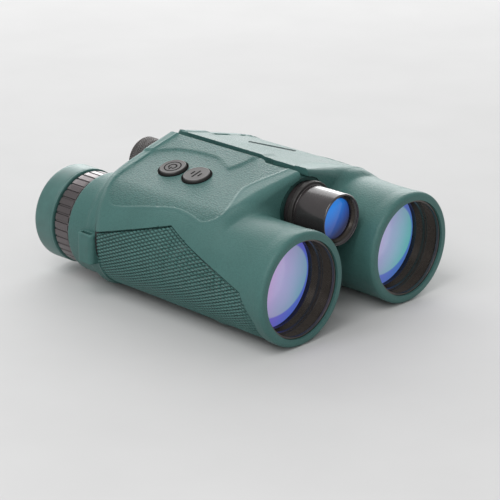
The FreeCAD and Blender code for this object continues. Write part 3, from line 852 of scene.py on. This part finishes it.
def diopter_shape(d0, d1):
    """Flat bars between narrow lengthwise grooves, from d0 to d1."""
    pitch = 2 * math.pi / DIOPTER_BARS

    def shape(a, d, r):
        phase = (a / pitch) % 1.0
        flat = math.cos(pitch * 0.4) / np.cos((phase - 0.5) * pitch)
        groove = 1 - ease(0.06, 0.12, np.minimum(phase, 1 - phase))
        on = ease(0, 0.3, d - d0) * ease(0, 0.3, d1 - d) * (r > DIOPTER_R - 0.9)
        return d, r * (1 + on * (flat - 1)) - on * groove * GROOVE_DEEP

    return shape


def eyepiece(right):
    side = "right_" if right else "left_"
    d0, d1 = span(side + "diopter_ring")
    line = [(d0, 17.7), (d0, 20.6), (d0 + 0.15, 20.9), (d0 + 0.5, 21.15), (d0 + 1.2, 21.15),
            (d0 + 1.45, 20.95), (d0 + 1.6, 20.8), (d0 + 1.8, 21.15)]
    line += [(d0 + step, DIOPTER_R) for step in (2.1, 4, 6, 8)]
    line += [(d1 - 0.6, DIOPTER_R), (d1 - 0.25, 21.1), (d1, 20.8), (d1, 17.7)]
    add_lathe(side + "diopter", side + "diopter", DIOPTER_METAL, "gunmetal", line,
              (side + "diopter_ring",), right, 26, count=DIOPTER_BARS * 14,
              shape=diopter_shape(d0 + 1.6, d1 + 2))

    d0, d1 = span(side + "eyecup_rubber")
    line = rounded(
        [(d0, 19.5, 0.2), (d0, 21.0, 0.3), (d0 + 0.25, 21.75, 0.5), (d0 + 1.1, 21.75, 0.25),
         (d0 + 1.35, 21.55, 0.1), (d0 + 1.6, 21.7, 0.2), (d1 - 3.2, 21.8, 1.0), (d1 - 1.5, 21.7, 1.2),
         (d1 - 0.2, 20.6, 1.2), (d1, 19.0, 1.0), (d1 - 0.15, 17.4, 0.8), (d1 - 0.8, 16.65, 0.4),
         (d1 - 1.4, 16.65, 0.2), (d1 - 1.4, 19.5, 0.2)], 0.3, 5)
    add_lathe(side + "eyecup", side + "eyecup", CUP, "armour_rubber", line,
              (side + "eyecup_rubber",), right, 40, count=144)


for right_side in (True, False):
    objective(right_side)
    eyepiece(right_side)


# ---- laser tube, knob ---------------------------------------------------------------------
def on_hinge(name, body, material, slot, line, replaced=(), **options):
    """Turns a line about the hinge axis."""
    add_lathe(name, body, material, slot, line, replaced, u=0.0, z=HINGE_Z, **options)


def laser_unit():
    d0 = span("laser_tube")[0]
    outside = rounded(
        [(d0, 10.75, 0.15), (d0, 11.15, 0.3), (d0 + 0.45, 11.5, 0.4), (d0 + 16, 11.5), (27.0, 11.5, 0.3),
         (27.1, 12.7, 0.2), (27.5, 12.9, 0.3), (29.2, 12.9, 0.3), (29.2, 12.2), (38.0, 12.2), (38.0, 11.0),
         (36.8, 11.0), (36.8, 9.95), (46.0, 9.95), (46.0, 7.6), (30.0, 7.6), (30.0, 9.4), (15.0, 9.4),
         (15.0, 10.35)], 0.15)
    grooves = [(12.35 - i * 0.45 + o, r) for i in range(5) for o, r in ((0, 10.35), (-0.22, 10.6))]
    inside = [q for q in [(12.4, 10.35)] + grooves if q[0] > d0 + 0.3] + [(d0 + 0.25, 10.6)]
    on_hinge("laser_barrel", "right_half", LASER_BLACK, "black_anodised", outside + inside,
             ("laser_tube",), count=128, sharp=28)
    retainer = rounded([(11.5, 10.3), (11.2, 9.9), (12.3, 9.0), (12.9, 8.9), (12.9, 10.3)], 0.12)
    on_hinge("laser_retainer", "right_half", BORE_BLACK, "black_anodised", retainer,
             ("laser_lens_ring",), count=128)
    on_hinge("laser_window", "right_half", LASER_WINDOW_PAINTED_LIGHT, "laser_glass",
             dome(12.2, 1.5, 9.3, 20) + [(14.8, 9.3), (14.8, 0)], ("laser_lens",), count=96, sharp=40)


def laser_collar():
    """The rough collar at the root of the laser tube."""
    count, roughness = 160, 0.16
    line = [(27.05, 11.6), (27.0, 12.6), (27.05, 12.95), (27.3, 13.12)]
    line += [(d, 13.13) for d in np.linspace(27.6, 28.9, 5)]
    line += [(29.15, 13.1), (29.3, 12.9), (29.3, 12.3)]
    lumps = np.random.default_rng(7).random((count, len(line)))
    on_hinge("laser_collar", "right_half", COLLAR_BLACK, "black_anodised", line, count=count, sharp=60,
             shape=lambda a, d, r: (d, r - (r > 12.5) * roughness * lumps))


def knurl(d0, d1):
    """Two crossing sets of slanting grooves, from d0 to d1."""
    def shape(a, d, r):
        turn = a * KNURLS / (2 * math.pi)
        one, other = (np.abs(((turn + way * d / KNURL_LEAD) % 1.0) - 0.5) * 2 for way in (1, -1))
        on = ease(0, 0.25, d - d0) * ease(0, 0.25, d1 - d) * (r > KNOB_R - 0.35)
        return d, r - on * KNURL_DEEP * np.maximum(ease(0.35, 0.95, one), ease(0.35, 0.95, other))

    return shape


def knob():
    d0, d1 = span("focus_knob")
    line = [(d0, 9.93), (d0, 10.15), (d0 + 0.25, 10.45), (d0 + 0.6, KNOB_R), (d0 + 1.3, KNOB_R),
            (d0 + 1.5, 10.35), (d0 + 1.7, 10.35), (d0 + 1.9, KNOB_R)]
    line += [(d, KNOB_R) for d in np.linspace(d0 + 2.1, d1 - 0.9, 44)]
    line += [(d1 - 0.6, KNOB_R), (d1 - 0.3, 10.5), (d1, 10.2), (d1, 9.62), (d1 - 2.2, 9.62),
             (d1 - 2.2, 9.0), (d0 + 5.52, 9.0), (d0 + 5.52, 9.93)]
    on_hinge("knob", "focus_wheel", KNOB_METAL, "black_anodised", line, ("focus_knob",),
             count=KNURLS * 9, shape=knurl(d0 + 1.9, d1 - 0.6), sharp=24)


laser_unit()
laser_collar()
knob()


# ---- buttons and the blank plate ----------------------------------------------------------
def on_roof(local, depth, u=BUTTON_U):
    """Rows (a, b, h): a down the slope, b backwards, h out of the roof at (u, depth)."""
    rows = np.array(local, float)
    roof_z = BODY_Z + (BODY_R - (u - AXIS_U) * SIN) / COS
    return np.stack([u + rows[:, 0] * COS + rows[:, 2] * SIN, depth + rows[:, 1],
                     roof_z - rows[:, 0] * SIN + rows[:, 2] * COS], 1)


def roof_disc(line, depth, count=96):
    """Turns (r, h) about the roof's normal."""
    m = len(line)
    angles = np.arange(count) * 2 * math.pi / count
    local = [(r * math.cos(t), r * math.sin(t), h) for t in angles for r, h in line]
    quads = []
    for i in range(count):
        here, ahead = i * m, (i + 1) % count * m
        for k in range(m):
            l = (k + 1) % m
            quads.append((here + k, here + l, ahead + l, ahead + k))
    return on_roof(local, depth), quads


def bar(start, end, wide, low, high):
    """A flat raised bar from one point of the roof to another."""
    start, end = np.array(start), np.array(end)
    along = (end - start) / np.linalg.norm(end - start)
    across = np.array([-along[1], along[0]]) * wide / 2
    corners = [start - across, end - across, end + across, start + across]
    local = [(*c, low) for c in corners] + [(*c, high) for c in corners]
    quads = [(0, 1, 2, 3), (7, 6, 5, 4), (0, 4, 5, 1), (1, 5, 6, 2), (2, 6, 7, 3), (3, 7, 4, 0)]
    return local, quads


def mark(name):
    """The bars of a generic symbol: an open ring with a stroke in a circle, or three strokes."""
    low, high = BUTTON_TOP - 0.3, BUTTON_TOP - 0.04
    if name == "mode":
        return [bar((-reach, b), (reach, b), 0.85, low, high)
                for b, reach in ((-2.1, 1.3), (0.0, 2.9), (2.1, 1.3))]
    bars = []
    for radius, first, last, wide in ((3.75, 0, 360, 0.6), (1.8, 30, 330, 0.75)):
        for degrees in range(first, last, 10):
            a, b = math.radians(degrees), math.radians(degrees + 10.5)
            bars.append(bar((radius * math.cos(a), radius * math.sin(a)),
                            (radius * math.cos(b), radius * math.sin(b)), wide, low, high))
    return bars + [bar((0.5, 0), (2.7, 0), 0.75, low, high)]


def button(name):
    depth, top = BUTTON_D[name], BUTTON_TOP
    face = [(r, top - 0.08 + (0.018 if i % 2 else 0)) for i, r in enumerate(np.linspace(0.25, 5.3, 44))]
    edge = [(5.55, top), (5.8, top - 0.07), (6.0, top - 0.25), (6.08, top - 0.5), (BUTTON_R, -1.6)]
    points, quads = roof_disc([(0.0, top - 0.08)] + face + edge + [(0.0, -1.6)], depth)
    make_object(name + "_key", points, quads, BUTTON, name + "_button",
                (name + "_button",), True, 40)
    points, quads = [], []
    for local, faces in mark(name):
        quads += [tuple(i + len(points) for i in f) for f in faces]
        points += local
    make_object(name + "_mark", on_roof(points, depth), quads, BUTTON_MARK, name + "_button",
                (), True, 20)
    # A near-black well round each key, standing in for the shade in the gap beside the key: a painted
    # shadow.
    well = [(6.5, -0.35), (6.62, -0.1), (6.95, -0.1), (6.95, -1.7), (6.4, -1.7), (6.15, -1.7),
            (6.15, -1.5), (6.45, -1.5)]
    points, quads = roof_disc(well, depth)
    make_object(name + "_surround", points, quads, GAP_PAINTED_SHADE, "right_half", (), True, 40)


for key in BUTTON_D:
    button(key)


def blank_plate():
    """The label's place on the left half: a blank plate with rounded corners."""
    front, rear = np.array([38.5, 72.2]), np.array([27.9, 91.7])
    u, depth = (rear + front) / 2
    long, half_high, corner = np.linalg.norm(front - rear) / 2, 1.9, 0.6
    turn = math.atan2(front[1] - rear[1], (front[0] - rear[0]) / COS)
    outline = []
    for sx, sy, start in ((1, 1, 0), (-1, 1, 90), (-1, -1, 180), (1, -1, 270)):
        for k in range(7):
            t = math.radians(start + k * 15)
            outline.append((sx * (long - corner) + corner * math.cos(t),
                            sy * (half_high - corner) + corner * math.sin(t)))
    local = []
    for shrink, h in ((1.0, -0.7), (1.0, -0.36), (0.985, -0.32)):
        inset = (1 - shrink) * long
        for x, y in outline:
            x, y = x - inset * np.sign(x), y - inset * np.sign(y)
            local.append((x * math.cos(turn) - y * math.sin(turn),
                          x * math.sin(turn) + y * math.cos(turn), h))
    n = len(outline)
    quads = [(k * n + i, k * n + (i + 1) % n, (k + 1) * n + (i + 1) % n, (k + 1) * n + i)
             for k in range(2) for i in range(n)]
    quads.append(tuple(range(2 * n, 3 * n)))
    make_object("blank_plate", on_roof(local, depth, u), quads, LABEL, "left_half", (),
                False, 30)


blank_plate()


# ---- floor, light, camera -----------------------------------------------------------------
def floor():
    mesh = bpy.data.meshes.new("floor")
    s = 6.0
    mesh.from_pydata([(-s, -s, 0), (s, -s, 0), (s, s, 0), (-s, s, 0)], [], [(0, 1, 2, 3)])
    made = bpy.data.objects.new("floor", mesh)
    bpy.context.scene.collection.objects.link(made)
    sh = Shader("floor_pale", 0.9)
    sh.colour(sh.ramp(sh.noise(60), [(0.3, (0.58, 0.58, 0.58)), (0.7, (0.6, 0.6, 0.6))]))
    sh.set("Specular IOR Level", 0.0)
    mesh.materials.append(sh.material)


def area_light(name, place, target, size, power, colour=(1, 1, 1)):
    data = bpy.data.lights.new(name, "AREA")
    data.shape = "RECTANGLE"
    data.size, data.size_y = size
    data.energy = power
    data.color = colour
    lamp = bpy.data.objects.new(name, data)
    bpy.context.scene.collection.objects.link(lamp)
    lamp.location = place
    lamp.rotation_mode = "QUATERNION"
    lamp.rotation_quaternion = (Vector(target) - Vector(place)).to_track_quat("-Z", "Y")


def studio():
    world = bpy.data.worlds.new("studio")
    bpy.context.scene.world = world
    world.use_nodes = True
    world.node_tree.nodes["Background"].inputs["Color"].default_value = (1, 1, 1, 1)
    world.node_tree.nodes["Background"].inputs["Strength"].default_value = 0.56
    area_light("back_right", (1.0, 1.0, 0.75), (0, 0, 0.05), (2.2, 1.5), 19.0)
    area_light("back_strip", (0.95, 0.85, 0.42), (0, 0, 0.05), (1.2, 0.4), 6.0)
    area_light("front_left", (-0.85, -0.75, 0.6), (0, 0, 0.03), (0.5, 0.5), 1.7)
    area_light("top_left", (-0.8, -0.1, 1.2), (0, 0, 0.03), (0.9, 0.9), 9.5)


def camera():
    data = bpy.data.cameras.new("camera")
    data.lens = 156.3
    data.sensor_width = 36
    made = bpy.data.objects.new("camera", data)
    bpy.context.scene.collection.objects.link(made)
    azimuth, elevation, distance = math.radians(-45.96), math.radians(20.45), 0.9651
    back = Vector((math.sin(azimuth) * math.cos(elevation), -math.cos(azimuth) * math.cos(elevation),
                   math.sin(elevation)))
    made.location = Vector((-0.00237, -0.01127, 0.01836)) + back * distance
    made.rotation_mode = "QUATERNION"
    made.rotation_quaternion = (-back).to_track_quat("-Z", "Y")
    bpy.context.scene.camera = made


floor()
studio()
camera()
bpy.context.scene.view_settings.view_transform = "Standard"
